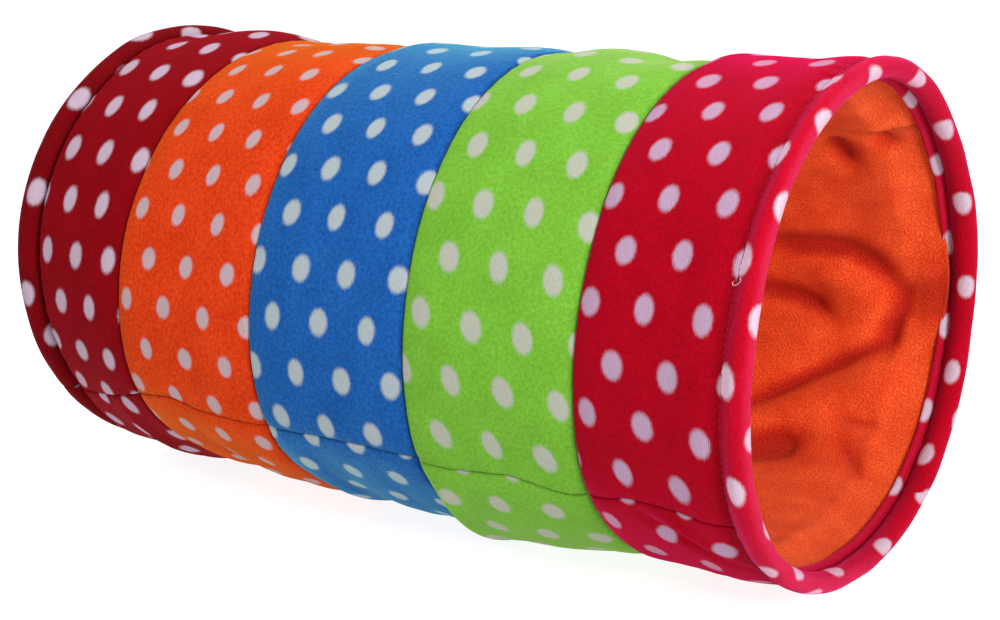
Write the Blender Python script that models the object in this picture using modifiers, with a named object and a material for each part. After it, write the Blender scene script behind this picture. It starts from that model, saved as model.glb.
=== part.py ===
"""Pet play tunnel: a soft round tunnel of five polka-dot fleece bands on two sprung hoops.

Metres, +Z up. The tunnel lies along X with its crimson mouth at +X, and rests on z = 0.
Each band hangs from the band in front of it, so the tunnel folds up towards +X.
"""

import math

import bmesh
import bpy
import numpy as np
from mathutils import Vector

# ---------------------------------------------------------------- driving dimensions
LENGTH = 0.500           # face to face of the two hems
HEM_RADIUS = 0.150       # outside of the rolled hem
BAND = 0.100             # spacing of the ring seams
ROLL_AXIAL = 0.0085      # half width of the rolled hem along X
ROLL_RADIAL = 0.0070     # half thickness of the rolled hem
CLOTH = 0.0020           # fleece
FACING = 0.0095          # hem cloth that runs on inside the mouth, past the stitch line
GAP = 0.0004             # between faces that lie on each other
SEAM_GAP = 0.0002        # each side of a ring seam
BULGE = 0.0028           # how far a band puffs out between its seams
FILM = 0.0004            # crackle film
WADDING = 0.0018
LINING = 0.0016
WIRE_RADIUS = 0.0015
FERRULE_RADIUS = 0.0026
FERRULE_LENGTH = 0.016
HEM_PRESS = 0.0014       # how far the floor flattens the hems
BODY_PRESS = 0.0007      # and the bands
WAIST_LIFT = 0.0020      # the seam behind the crimson band stays off the floor
SQUEEZE = 0.00075        # taken up by the lowest SQUEEZED of the soft layers
SQUEEZED = 0.020
SEGMENTS = 36            # round the tunnel
ROLL_INSIDE = (-160, -110, -55, 0, 55, 110, 160)  # corners of the rolled hem's inside

X_ROLL = LENGTH / 2 - ROLL_AXIAL          # centre of the rolled hem
R_ROLL = HEM_RADIUS - ROLL_RADIAL
X_HEM = LENGTH / 2 - 2 * ROLL_AXIAL       # hem stitch line
SEAMS = [BAND * (i - 1.5) for i in range(4)]

# One ring for each hem stitch line and ring seam, far to near: radius of the cloth's
# outside, how far the ring's middle stands off the straight axis in Y, and how oval it is:
# wide (2 lobes), leaning (2 lobes turned 45 degrees) and two 3-lobed terms.
RING_X = [-X_HEM] + SEAMS + [X_HEM]
END_ROWS = [SEAMS[3] + (X_HEM - SEAMS[3]) * share for share in (0.4, 0.8)]
RING_RADIUS = [0.1450, 0.1460, 0.1450, 0.1445, 0.1410, 0.1440]
RING_Y = [-0.0020, -0.0115, -0.0100, -0.0020, 0.0070, 0.0120]
RING_WIDE = [0.0045, 0.0045, 0.0030, 0.0020, 0.0010, 0.0035]
RING_LEAN = [-0.0050, 0.0000, -0.0030, 0.0035, 0.0010, -0.0040]
RING_TRI_Y = [-0.0010, -0.0010, 0.0000, 0.0025, 0.0000, -0.0020]
RING_TRI_Z = [-0.0015, -0.0010, -0.0035, -0.0010, -0.0025, -0.0030]


def ring_value(values, x):
    return float(np.interp(x, RING_X, values))


def offset(x, t):
    """How far the rings stand out of round at x, in direction t (from +Y towards +Z)."""
    return (
        ring_value(RING_WIDE, x) * math.cos(2 * t)
        + ring_value(RING_LEAN, x) * math.sin(2 * t)
        + ring_value(RING_TRI_Y, x) * math.cos(3 * t)
        + ring_value(RING_TRI_Z, x) * math.sin(3 * t)
    )


def puff(x):
    """How far the cloth stands out between two ring seams."""
    for a, b in zip(RING_X[:-1], RING_X[1:]):
        if a < x < b:
            return BULGE * (1 - (2 * (x - a) / (b - a) - 1) ** 4)
    return 0.0


def off_floor(t):
    """0 where the cloth lies on the floor, 1 from the sides up."""
    return min(1.0, max(0.0, (math.sin(t) + 0.95) / 0.25))


def depth_of(i):
    """How far below its middle both of ring i's lowest rows reach."""
    radius = HEM_RADIUS if i in (0, len(RING_X) - 1) else RING_RADIUS[i]
    return min(
        (radius + offset(RING_X[i], t)) * abs(math.sin(t))
        for t in (-math.pi / 2 - math.pi / SEGMENTS, -math.pi / 2 + math.pi / SEGMENTS)
    )


RING_PRESS = [HEM_PRESS, BODY_PRESS, BODY_PRESS, BODY_PRESS, -WAIST_LIFT, HEM_PRESS]
RING_Z = [depth_of(i) - RING_PRESS[i] for i in range(len(RING_X))]


def placed(x, r, t):
    """Point of the tunnel at x, radius r before the rings go out of round, direction t."""
    r = r + offset(x, t)
    return Vector((
        x,
        ring_value(RING_Y, x) + r * math.cos(t) - Y_MIDDLE,
        ring_value(RING_Z, x) + r * math.sin(t),
    ))


def pressed(point):
    """The floor squeezes the lowest part of every layer, and flattens what would go through it."""
    if point.z < SQUEEZED:
        point.z = max(0.0, SQUEEZED * (point.z + SQUEEZE) / (SQUEEZED + SQUEEZE))
        if point.z < 0.0001:
            point.z = 0.0
    return point


def row_angles():
    return [-math.pi / 2 + (k + 0.5) * 2 * math.pi / SEGMENTS for k in range(SEGMENTS)]


def y_middle():
    ys = [
        ring_value(RING_Y, x) + (r + p + offset(x, t)) * math.cos(t)
        for x, r, p in [(X_ROLL, HEM_RADIUS, 0), (-X_ROLL, HEM_RADIUS, 0)]
        + [(m, ring_value(RING_RADIUS, m), puff(m)) for m in np.linspace(-X_HEM, X_HEM, 61)]
        for t in row_angles()
    ]
    return (max(ys) + min(ys)) / 2


Y_MIDDLE = y_middle()


# ---------------------------------------------------------------- scene
for old in list(bpy.data.objects):
    bpy.data.objects.remove(old, do_unlink=True)

parts = bpy.data.collections.new("pet_play_tunnel")
bpy.context.scene.collection.children.link(parts)


def material(name, colour, roughness, metallic=0.0, sheen=0.0):
    made = bpy.data.materials.new(name)
    made.use_nodes = True
    made.diffuse_color = (*colour, 1)
    shader = made.node_tree.nodes["Principled BSDF"]
    shader.inputs["Base Color"].default_value = (*colour, 1)
    shader.inputs["Roughness"].default_value = roughness
    shader.inputs["Metallic"].default_value = metallic
    shader.inputs["Sheen Weight"].default_value = sheen
    return made


CRIMSON = material("crimson_fleece", (0.56, 0.008, 0.045), 0.95, sheen=0.3)
GREEN = material("green_fleece", (0.27, 0.55, 0.045), 0.95, sheen=0.3)
BLUE = material("blue_fleece", (0.018, 0.14, 0.50), 0.95, sheen=0.3)
ORANGE = material("orange_fleece", (0.80, 0.075, 0.006), 0.95, sheen=0.3)
DARK_RED = material("dark_red_fleece", (0.30, 0.006, 0.018), 0.95, sheen=0.3)
LINING_CLOTH = material("orange_lining_fleece", (0.80, 0.09, 0.010), 0.95, sheen=0.3)
WHITE_WADDING = material("polyester_wadding", (0.80, 0.80, 0.78), 1.0)
CLEAR_FILM = material("crackle_film", (0.70, 0.72, 0.74), 0.35)
STEEL = material("spring_steel", (0.42, 0.42, 0.43), 0.35, metallic=1.0)
SLEEVE = material("crimped_sleeve", (0.60, 0.60, 0.62), 0.40, metallic=1.0)


def carrier(name, x):
    """Empty at the ring that a band slides with."""
    empty = bpy.data.objects.new(name, None)
    empty.empty_display_type = "CIRCLE"
    empty.empty_display_size = 0.02
    empty.location = (x, ring_value(RING_Y, x) - Y_MIDDLE, ring_value(RING_Z, x))
    parts.objects.link(empty)
    return empty


near_end = carrier("near_end_carrier", X_ROLL)
green_band = carrier("green_band_carrier", SEAMS[3])
blue_band = carrier("blue_band_carrier", SEAMS[2])
orange_band = carrier("orange_band_carrier", SEAMS[1])
far_end = carrier("far_end_carrier", -X_ROLL)


def finish(obj, carrier_empty, made_of):
    """Hangs a mesh in row coordinates on its carrier, with its origin there."""
    mesh = obj.data
    for vertex in mesh.vertices:
        vertex.co -= carrier_empty.location
    mesh.materials.clear()
    mesh.materials.append(made_of)
    mesh.shade_smooth()
    mesh.set_sharp_from_angle(angle=math.radians(40))
    obj.parent = carrier_empty
    parts.objects.link(obj)
    return obj


def split_alike(mesh):
    """Cuts every four-sided face along the same diagonal, so that layers stay parallel."""
    shape = bmesh.new()
    shape.from_mesh(mesh)
    for face in list(shape.faces):
        if len(face.verts) != 4:
            continue
        corners = list(face.verts)
        turn = math.atan2(*(sum(v.co[i] for v in corners) for i in (1, 0)))

        def skew(a, b):
            angles = [math.atan2(v.co.y, v.co.x) - turn for v in (a, b)]
            angles = [(angle + math.pi) % (2 * math.pi) - math.pi for angle in angles]
            return (b.co.z - a.co.z) * (angles[1] - angles[0])

        if skew(corners[0], corners[2]) > skew(corners[1], corners[3]):
            bmesh.utils.face_split(face, corners[0], corners[2])
        else:
            bmesh.utils.face_split(face, corners[1], corners[3])
    shape.to_mesh(mesh)
    shape.free()


def turned(name, profile, carrier_empty, made_of, puffed=False):
    """Turns a closed (x, r) profile round the tunnel's axis, then lets it follow the rings."""
    area = sum(
        ra * xb - rb * xa
        for (xa, ra), (xb, rb) in zip(profile, profile[1:] + profile[:1])
    )
    if area > 0:
        profile = profile[::-1]
    mesh = bpy.data.meshes.new(name)
    count = len(profile)
    mesh.from_pydata(
        [(r, 0, x) for x, r in profile],
        [(i, (i + 1) % count) for i in range(count)],
        [],
    )
    outline = bpy.data.objects.new(name + "_outline", mesh)
    bpy.context.scene.collection.objects.link(outline)
    screw = outline.modifiers.new("turn", "SCREW")
    screw.axis = "Z"
    screw.angle = 2 * math.pi
    screw.steps = screw.render_steps = SEGMENTS
    screw.use_merge_vertices = True
    screw.merge_threshold = 0.00001
    bpy.context.view_layer.update()
    graph = bpy.context.evaluated_depsgraph_get()
    solid = bpy.data.meshes.new_from_object(outline.evaluated_get(graph))
    bpy.data.objects.remove(outline, do_unlink=True)
    solid.name = name
    split_alike(solid)
    for vertex in solid.vertices:
        a, b, x = vertex.co
        # The outline starts half a step past straight down, so that a flat lies on the floor.
        t = math.atan2(b, a) - math.pi / 2 + math.pi / SEGMENTS
        r = math.hypot(a, b)
        if puffed:
            r += puff(x) * off_floor(t)
        vertex.co = pressed(placed(x, r, t))
    return finish(bpy.data.objects.new(name, solid), carrier_empty, made_of)


def layer(depth, x):
    """Radius at x of a face that lies this deep under the cover's outside."""
    return ring_value(RING_RADIUS, x) - depth


# ---------------------------------------------------------------- cover
def plain_band(name, low, high, carrier_empty, made_of):
    a, b = low + SEAM_GAP, high - SEAM_GAP
    outer = [(a + (b - a) * s, layer(0, a + (b - a) * s)) for s in (0, 0.12, 0.3, 0.5, 0.7, 0.88, 1)]
    inner = [(b, layer(CLOTH, b)), (a, layer(CLOTH, a))]
    return turned(name, outer + inner, carrier_empty, made_of, puffed=True)


def roll_point(degrees, inset):
    a = math.radians(degrees)
    return (
        X_ROLL + (ROLL_AXIAL - inset) * math.cos(a),
        R_ROLL + (ROLL_RADIAL - inset) * math.sin(a),
    )


def hemmed_band(name, side, carrier_empty, made_of):
    """End band: the cloth runs out to the hem, rolls over the hoop and comes back inside."""
    start = SEAMS[3] + SEAM_GAP
    body = [start + (X_HEM - start) * s for s in (0, 0.15, 0.4, 0.65, 0.88, 1)]

    def skin(x, depth):
        return (x, layer(depth, side * x))

    face_end = X_HEM - FACING
    profile = [skin(x, 0) for x in body]
    profile += [roll_point(d, 0) for d in (150, 115, 90, 65, 30, 0, -35, -70, -105, -150)]
    profile += [
        (X_HEM, layer(CLOTH + GAP + CLOTH, side * X_HEM)),
        (X_HEM - 0.5 * FACING, layer(CLOTH + GAP + CLOTH + 0.0008, side * X_HEM)),
        (face_end, layer(CLOTH + GAP + CLOTH + 0.0002, side * X_HEM)),
        (face_end, layer(CLOTH + GAP + 0.0002, side * X_HEM)),
        (X_HEM, layer(CLOTH + GAP, side * X_HEM)),
    ]
    profile += [roll_point(d, CLOTH) for d in ROLL_INSIDE]
    profile += [skin(x, CLOTH) for x in (X_HEM, *reversed(END_ROWS), body[0])]
    return turned(
        name, [(side * x, r) for x, r in profile], carrier_empty, made_of, puffed=True
    )


hemmed_band("panel_crimson", 1, near_end, CRIMSON)
plain_band("panel_green", SEAMS[2], SEAMS[3], green_band, GREEN)
plain_band("panel_blue", SEAMS[1], SEAMS[2], blue_band, BLUE)
plain_band("panel_orange", SEAMS[0], SEAMS[1], orange_band, ORANGE)
hemmed_band("panel_dark_red", -1, far_end, DARK_RED)


# ---------------------------------------------------------------- layers inside the cover
def inner_layer(name, depth, thickness, made_of):
    end = X_HEM - FACING - GAP
    rows = [-end] + [-x for x in reversed(END_ROWS)] + SEAMS + END_ROWS + [end]
    outer = [(x, layer(depth, x)) for x in rows]
    inner = [(x, layer(depth + thickness, x)) for x in reversed(rows)]
    return turned(name, outer + inner, near_end, made_of)


depth = CLOTH + GAP
inner_layer("crackle_film", depth, FILM, CLEAR_FILM)
depth += FILM + GAP
inner_layer("body_wadding", depth, WADDING, WHITE_WADDING)
depth += WADDING + GAP
inner_layer("lining", depth, LINING, LINING_CLOTH)


# ---------------------------------------------------------------- hoops in the hems
def hem_wadding(name, side, carrier_empty):
    """Strip of wadding wrapped round the hoop, open towards the stitch line."""
    bore = FERRULE_RADIUS + 0.0005
    inset = CLOTH + GAP
    outer = [roll_point(d, inset) for d in reversed(ROLL_INSIDE)]
    inner = [
        (X_ROLL + bore * math.cos(math.radians(d)), R_ROLL + bore * math.sin(math.radians(d)))
        for d in (-160, -96, -32, 32, 96, 160)
    ]
    return turned(name, [(side * x, r) for x, r in outer + inner], carrier_empty, WHITE_WADDING)


def hoop(name, side, carrier_empty):
    """Sprung wire whose two ends meet in the middle of one straight, where the sleeve sits."""
    first = SEGMENTS * 7 // 8
    angles = row_angles()
    rows = [placed(side * X_ROLL, R_ROLL, angles[(first + 1 + k) % SEGMENTS]) for k in range(SEGMENTS)]
    for row in rows:
        pressed(row)
    ends = (rows[-1], rows[0])
    middle = (ends[0] + ends[1]) / 2
    along = (ends[1] - ends[0]).normalized()
    points = [middle + along * 0.0005] + rows + [middle - along * 0.0005]
    curve = bpy.data.curves.new(name, "CURVE")
    curve.dimensions = "3D"
    curve.bevel_depth = WIRE_RADIUS
    curve.bevel_resolution = 1
    curve.use_fill_caps = True
    spline = curve.splines.new("POLY")
    spline.points.add(len(points) - 1)
    for spot, point in zip(spline.points, points):
        spot.co = (*(point - carrier_empty.location), 1)
    wire = bpy.data.objects.new(name, curve)
    curve.materials.append(STEEL)
    wire.parent = carrier_empty
    parts.objects.link(wire)

    tube = bmesh.new()
    bmesh.ops.create_cone(
        tube, cap_ends=False, segments=12, radius1=FERRULE_RADIUS, radius2=FERRULE_RADIUS,
        depth=FERRULE_LENGTH,
    )
    mesh = bpy.data.meshes.new(name.replace("hoop", "ferrule"))
    tube.to_mesh(mesh)
    tube.free()
    sleeve = bpy.data.objects.new(name.replace("hoop", "ferrule"), mesh)
    wall = sleeve.modifiers.new("wall", "SOLIDIFY")
    wall.thickness = FERRULE_RADIUS - WIRE_RADIUS - 0.0004
    wall.offset = -1
    mesh.materials.append(SLEEVE)
    mesh.shade_smooth()
    mesh.set_sharp_from_angle(angle=math.radians(40))
    sleeve.parent = carrier_empty
    sleeve.location = middle - carrier_empty.location
    sleeve.rotation_euler = along.to_track_quat("Z", "Y").to_euler()
    parts.objects.link(sleeve)


hem_wadding("hem_wadding_near", 1, near_end)
hem_wadding("hem_wadding_far", -1, far_end)
hoop("hoop_near", 1, near_end)
hoop("hoop_far", -1, far_end)
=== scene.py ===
import math

import bpy
import numpy as np
from mathutils import Matrix, Vector


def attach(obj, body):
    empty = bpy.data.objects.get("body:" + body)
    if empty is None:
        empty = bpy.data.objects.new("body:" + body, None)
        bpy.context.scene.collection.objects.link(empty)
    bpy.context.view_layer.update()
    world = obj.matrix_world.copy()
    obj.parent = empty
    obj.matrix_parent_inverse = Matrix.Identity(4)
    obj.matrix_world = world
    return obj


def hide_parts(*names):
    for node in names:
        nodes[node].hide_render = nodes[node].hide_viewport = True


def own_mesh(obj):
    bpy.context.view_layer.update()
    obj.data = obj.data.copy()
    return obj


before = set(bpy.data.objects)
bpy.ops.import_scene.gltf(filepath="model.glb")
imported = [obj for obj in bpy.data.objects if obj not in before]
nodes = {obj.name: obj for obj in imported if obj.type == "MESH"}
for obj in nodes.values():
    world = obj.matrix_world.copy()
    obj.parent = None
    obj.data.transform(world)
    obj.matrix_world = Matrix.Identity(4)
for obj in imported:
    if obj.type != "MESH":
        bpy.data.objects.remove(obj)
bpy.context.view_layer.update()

MM = 0.001
TAU = 2 * math.pi


# ------------------------------------------------------------------ camera

camera_data = bpy.data.cameras.new("camera")
camera_data.sensor_fit = "HORIZONTAL"
camera_data.sensor_width = 36.0
camera_data.lens = 58.22
camera_data.clip_start, camera_data.clip_end = 0.01, 50.0
camera = bpy.data.objects.new("camera", camera_data)
bpy.context.scene.collection.objects.link(camera)
camera.matrix_world = Matrix((
    (0.81429, -0.13715, 0.56402, 0.5705),
    (0.57652, 0.30407, -0.75840, -0.7548),
    (-0.06748, 0.94273, 0.32667, 0.4475),
    (0, 0, 0, 1)))
bpy.context.scene.camera = camera


# ------------------------------------------------------------------ shape
# The tube's shape, as in part.py: six rings along X, t from +Y towards +Z.

LENGTH = 0.5
HEM_RADIUS = 0.15
ROLL_AXIAL, ROLL_RADIAL = 0.0085, 0.007
X_ROLL = LENGTH / 2 - ROLL_AXIAL
R_ROLL = HEM_RADIUS - ROLL_RADIAL
X_HEM = LENGTH / 2 - 2 * ROLL_AXIAL
SEAMS = [-0.15, -0.05, 0.05, 0.15]
BULGE = 0.0028
SEG = 36
RING_X = np.array([-X_HEM] + SEAMS + [X_HEM])
RING_R = np.array([0.1450, 0.1460, 0.1450, 0.1445, 0.1410, 0.1440])
RING_Y = np.array([-0.0020, -0.0115, -0.0100, -0.0020, 0.0070, 0.0120])
RING_WIDE = np.array([0.0045, 0.0045, 0.0030, 0.0020, 0.0010, 0.0035])
RING_LEAN = np.array([-0.0050, 0.0000, -0.0030, 0.0035, 0.0010, -0.0040])
RING_THREE = np.array([-0.0010, -0.0010, 0.0000, 0.0025, 0.0000, -0.0020])
RING_UNDER = np.array([-0.0015, -0.0010, -0.0035, -0.0010, -0.0025, -0.0030])
PRESS = [0.0014, 0.0007, 0.0007, 0.0007, -0.0020, 0.0014]
MIDDLE_Y = 0.00018418


def between(x, values):
    return np.interp(x, RING_X, values)


def offset(x, t):
    return (between(x, RING_WIDE) * np.cos(2 * t) + between(x, RING_LEAN) * np.sin(2 * t)
            + between(x, RING_THREE) * np.cos(3 * t) + between(x, RING_UNDER) * np.sin(3 * t))


def puff(x):
    x = np.asarray(x, float)
    out = np.zeros_like(x)
    for a, b in zip(RING_X[:-1], RING_X[1:]):
        inside = (x > a) & (x < b)
        out = np.where(inside, BULGE * (1 - (2 * (x - a) / (b - a) - 1) ** 4), out)
    return out


def depth_of(i):
    r = HEM_RADIUS if i in (0, 5) else RING_R[i]
    return min((r + float(offset(RING_X[i], t))) * abs(math.sin(t))
               for t in (-math.pi / 2 - math.pi / SEG, -math.pi / 2 + math.pi / SEG))


RING_Z = np.array([depth_of(i) - PRESS[i] for i in range(6)])


def placed(x, r, t):
    """The point at radius r, pressed flat where it would go into the floor."""
    x, r, t = np.broadcast_arrays(np.asarray(x, float), np.asarray(r, float), np.asarray(t, float))
    rr = r + offset(x, t)
    z = between(x, RING_Z) + rr * np.sin(t)
    z = np.where(z < 0.02, np.maximum(0.0, 0.02 * (z + 0.00075) / 0.02075), z)
    return np.stack([x, between(x, RING_Y) + rr * np.cos(t) - MIDDLE_Y, z], -1)


def smooth(v):
    v = np.clip(v, 0, 1)
    return v * v * (3 - 2 * v)


def wrapped(t):
    return (np.asarray(t) + math.pi) % TAU - math.pi


def waves(x, t, seed, slow, fast, span, count=9):
    """Smooth ripples that close round the tube, about 1 high."""
    rng = np.random.default_rng(seed)
    out = 0.0
    for _ in range(count):
        turns = int(rng.integers(slow, fast + 1))
        out = out + np.cos(turns * t + rng.uniform(-1, 1) * TAU / span * x + rng.uniform(0, TAU))
    return out * math.sqrt(2 / count) / 1.6


def swell(x, t, at, size, turn=0.0, high=1.0):
    """A soft oval rise at (x mm, t), size (along, across) in mm, turned by degrees from the X axis."""
    dx = x / MM - at[0]
    ds = wrapped(t - at[1]) * 145.5
    c, s = math.cos(math.radians(turn)), math.sin(math.radians(turn))
    u, v = (c * dx + s * ds) / size[0], (-s * dx + c * ds) / size[1]
    return high * MM * np.exp(-(u * u + v * v))


# Soft swells and dents in the cover: (x mm, t), (along, across) mm, turn, height mm.
COVER_SWELLS = [
    ((-215, 1.40), (12, 45), 0, -7.0), ((-176, 1.40), (13, 40), 0, 1.0), ((-122, 1.36), (24, 45), 0, -5.0),
    ((-84, 1.32), (14, 40), 0, -2.6), ((-58, 1.50), (14, 50), 0, -3.0), ((-32, 1.50), (12, 40), 0, 1.0),
    ((5, 1.40), (28, 40), 0, -2.0), ((62, 1.45), (12, 40), 0, -2.4), ((121, 1.34), (17, 45), 0, -6.2),
    ((150, 1.45), (14, 60), 0, -2.4), ((160, 1.50), (9, 50), 0, 2.4), ((200, 1.40), (26, 50), 0, -1.7),
    ((209, -2.672), (22, 4.5), 37, 1.8), ((204, -2.622), (24, 4.5), 37, -2.4),
]

# How far the bands' undersides hang clear of the floor: x mm, mm.
BELLY = np.array([(-233, 0), (-222, -3.4), (-212, -1.5), (-200, 0.8), (-190, 0.5), (-178, 0.5), (-166, 5.8), (-160, 6.5),
                  (-150, 7), (-134, 8), (-123, 9.5), (-112, 11), (-102, 8), (-91, 6.8), (-77, 7), (-62, 5.4), (-50, 5.5),
                  (-36, 5), (-30, 6.5), (-24, 9), (-15, 10), (-8, 9), (0, 8), (13, 8.2), (22, 9.5), (42, 9), (50, 7),
                  (56, 0), (64, 3), (75, 4), (100, 2.8), (130, 4.2), (142, 3), (150, 3.5), (160, 1), (175, 0.5),
                  (187, -0.5), (201, -2), (213, -2), (220, -1), (226, 0), (233, 0)])

# How far the near mouth stands out of the rings' plain shape: t, mm.
MOUTH = np.array([(-3.14, 0.4), (-2.6, 0.8), (-2.0, 1.5), (-1.57, 1.2), (-1.0, 1.2), (-0.5, 1.5), (0.0, 2.2), (0.2, 2.4),
                  (0.5, 1.4), (0.9, 0.3), (1.25, -1.4), (1.6, -1.9), (2.1, -1.0), (2.7, 0.2)])


def extra(x, t):
    """What the cover does besides the CAD's plain shape: slack, and dents seen in the photograph."""
    out = 0.45 * MM * waves(x, t, 11, 2, 6, 0.16) + 0.22 * MM * waves(x, t, 12, 7, 16, 0.07)
    for at, size, turn, high in COVER_SWELLS:
        out = out + swell(x, t, at, size, turn, high)
    return out


def off_floor(t):
    return np.clip((np.sin(t) + 0.95) / 0.25, 0, 1)


def belly(x, t):
    away = wrapped(t + 1.9)
    share = smooth((away + 1.05) / 0.60) * smooth((0.62 - away) / 0.42)
    return MM * np.interp(x / MM, BELLY[:, 0], BELLY[:, 1]) * share


def mouth(t):
    return sum(np.interp(t + d, MOUTH[:, 0], MOUTH[:, 1], period=TAU) for d in (-0.2, -0.1, 0, 0.1, 0.2)) / 5 * MM


def pinch(t):
    """How far the near hem's stitches sit outwards."""
    return MM * (0.35 - 0.4 * np.exp(-(wrapped(t + 2.78) / 0.24) ** 2) + 0.4 * np.exp(-(wrapped(t - 1.5) / 0.5) ** 2))


def slim(t):
    """Share by which the near roll is narrower, high on the front."""
    return 0.26 * np.exp(-(wrapped(t - 2.25) / 0.50) ** 2)


def fat(t):
    """The near roll is a little thicker at one place on the far side."""
    return np.exp(-(wrapped(t - 0.14) / 0.30) ** 2)


def flare(x):
    """The crimson band widens towards the mouth, until it is nearly flush with the hem."""
    return 3.4 * MM * smooth((x - 0.203) / 0.031)


def inside_skin(x, t):
    """The cover's outside radius, before the bands puff out between their seams and flare out at the mouth."""
    return (between(x, RING_R) + extra(x, t) * (0.25 + 0.75 * off_floor(t)) - belly(x, t)
            + mouth(t) * smooth((x - 0.19) / 0.045))


def skin(x, t):
    """The cover's outside radius."""
    clear = np.maximum(off_floor(t), np.clip(belly(x, t) / (3 * MM), 0, 1))
    return inside_skin(x, t) + puff(x) * clear + flare(x)


def layer(x, t, depth):
    return placed(x, skin(x, t) - depth, t)


def inside_layer(x, t, depth):
    return placed(x, inside_skin(x, t) - depth, t)


SEAM_PATH = np.array([(-233, -2.70), (-200, -2.745), (-142, -2.867), (-115, -2.897), (-105, -2.862), (-78, -2.845),
                      (-52, -2.836), (-8, -2.836), (22, -2.823), (51, -2.784), (70, -2.771), (109, -2.788),
                      (140, -2.722), (155, -2.738), (175, -2.785), (189, -2.793), (225, -2.766), (233, -2.758)])


def seam_at(x):
    """t of the lengthwise seam, low on the front."""
    x = np.asarray(x, float) / MM
    return sum(np.interp(x + d, SEAM_PATH[:, 0], SEAM_PATH[:, 1]) for d in (-6, -3, 0, 3, 6)) / 5


# ------------------------------------------------------------------ meshes

def link(obj):
    bpy.context.scene.collection.objects.link(obj)
    return obj


def shell(name, outer, inner, maps, wrap=False, flip=False):
    """A closed piece of cloth from its two sides, grids of points (across, round). maps are UV maps as grids of the
    same size, one column longer where the piece closes round. OFBake is one more map, an even layout of the outside,
    the inside and the rims."""
    n, m = outer.shape[:2]
    points = np.concatenate([outer.reshape(-1, 3), inner.reshape(-1, 3)])
    k = n * m
    cols = m if wrap else m - 1
    i, j = (g.ravel() for g in np.meshgrid(np.arange(n - 1), np.arange(cols), indexing="ij"))
    quads, spots, kinds = [], [], []

    def add(corners, side, kind):
        """corners are four (i, j) pairs, side 0 the outside and 1 the inside."""
        q = [c[0] * m + c[1] % m + k * s for c, s in zip(corners, side)]
        quads.append(np.stack(q, 1))
        spots.append(np.stack([np.stack([c[0] + 0 * q[0], c[1] + 0 * q[0]], 1) for c in corners], 1))
        kinds.append(np.full(len(q[0]), kind))

    a, b, c, d = (i, j), (i + 1, j), (i + 1, j + 1), (i, j + 1)
    add([a, d, c, b], (0, 0, 0, 0), 0)
    add([a, b, c, d], (1, 1, 1, 1), 1)
    col = np.arange(cols)
    zero, last = 0 * col, 0 * col + n - 1
    add([(zero, col + 1), (zero, col), (zero, col), (zero, col + 1)], (0, 0, 1, 1), 2)
    add([(last, col), (last, col + 1), (last, col + 1), (last, col)], (0, 0, 1, 1), 3)
    if not wrap:
        row = np.arange(n - 1)
        zero, last = 0 * row, 0 * row + m - 1
        add([(row, zero), (row + 1, zero), (row + 1, zero), (row, zero)], (0, 0, 1, 1), 4)
        add([(row + 1, last), (row, last), (row, last), (row + 1, last)], (0, 0, 1, 1), 5)
    quads, spots, kinds = np.concatenate(quads), np.concatenate(spots), np.concatenate(kinds)

    # An even layout: the outside and the inside in strips above each other, their rims beside them.
    across = np.linalg.norm(np.diff(outer, axis=0), axis=2).mean(1)
    across = np.concatenate([[0], np.cumsum(across)])
    ring = np.concatenate([outer, outer[:, :1]], 1) if wrap else outer
    around = np.linalg.norm(np.diff(ring, axis=1), axis=2).mean(0)
    around = np.concatenate([[0], np.cumsum(around)])
    strips = max(1, int(round(math.sqrt(around[-1] / (2 * across[-1])))))
    cut = np.linspace(0, len(around) - 1, strips + 1).astype(int)
    rim, gap = 0.0022, 0.0030
    tall = across[-1] + 2 * rim + gap
    which = np.clip(np.searchsorted(cut, spots[:, :, 1].min(1), side="right") - 1, 0, strips - 1)
    u = around[spots[:, :, 1]] - around[cut[which]][:, None] + rim + gap
    inside = (kinds == 1)
    v = across[spots[:, :, 0]] + rim + gap + (which + strips * inside)[:, None] * tall
    under = np.array([[0, 0, 0, 0], [0, 0, 0, 0], [0, 0, -rim, -rim], [0, 0, rim, rim]])
    v = v + np.where((kinds < 4)[:, None], under[np.clip(kinds, 0, 3)], 0)
    beside = np.array([[0, 0, -rim, -rim], [0, 0, rim, rim]])
    u = u + np.where((kinds > 3)[:, None], beside[np.clip(kinds - 4, 0, 1)], 0)
    size = max(u.max(), v.max()) + gap
    layout = np.stack([u, v], -1) / size

    if flip:
        quads, spots, layout = quads[:, ::-1], spots[:, ::-1], layout[:, ::-1]
    mesh = bpy.data.meshes.new(name)
    mesh.from_pydata(points, [], quads)
    for title, grid in maps.items():
        flat = grid[spots[:, :, 0], spots[:, :, 1]]
        mesh.uv_layers.new(name=title).data.foreach_set("uv", flat.astype(np.float32).ravel())
    mesh.uv_layers.new(name="OFBake").data.foreach_set("uv", layout.astype(np.float32).ravel())
    mesh.polygons.foreach_set("use_smooth", np.ones(len(quads), bool))
    mesh.update()
    return link(bpy.data.objects.new(name, mesh))


def pair(a, b):
    a, b = np.broadcast_arrays(a, b)
    return np.stack([a, b], -1)


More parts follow.
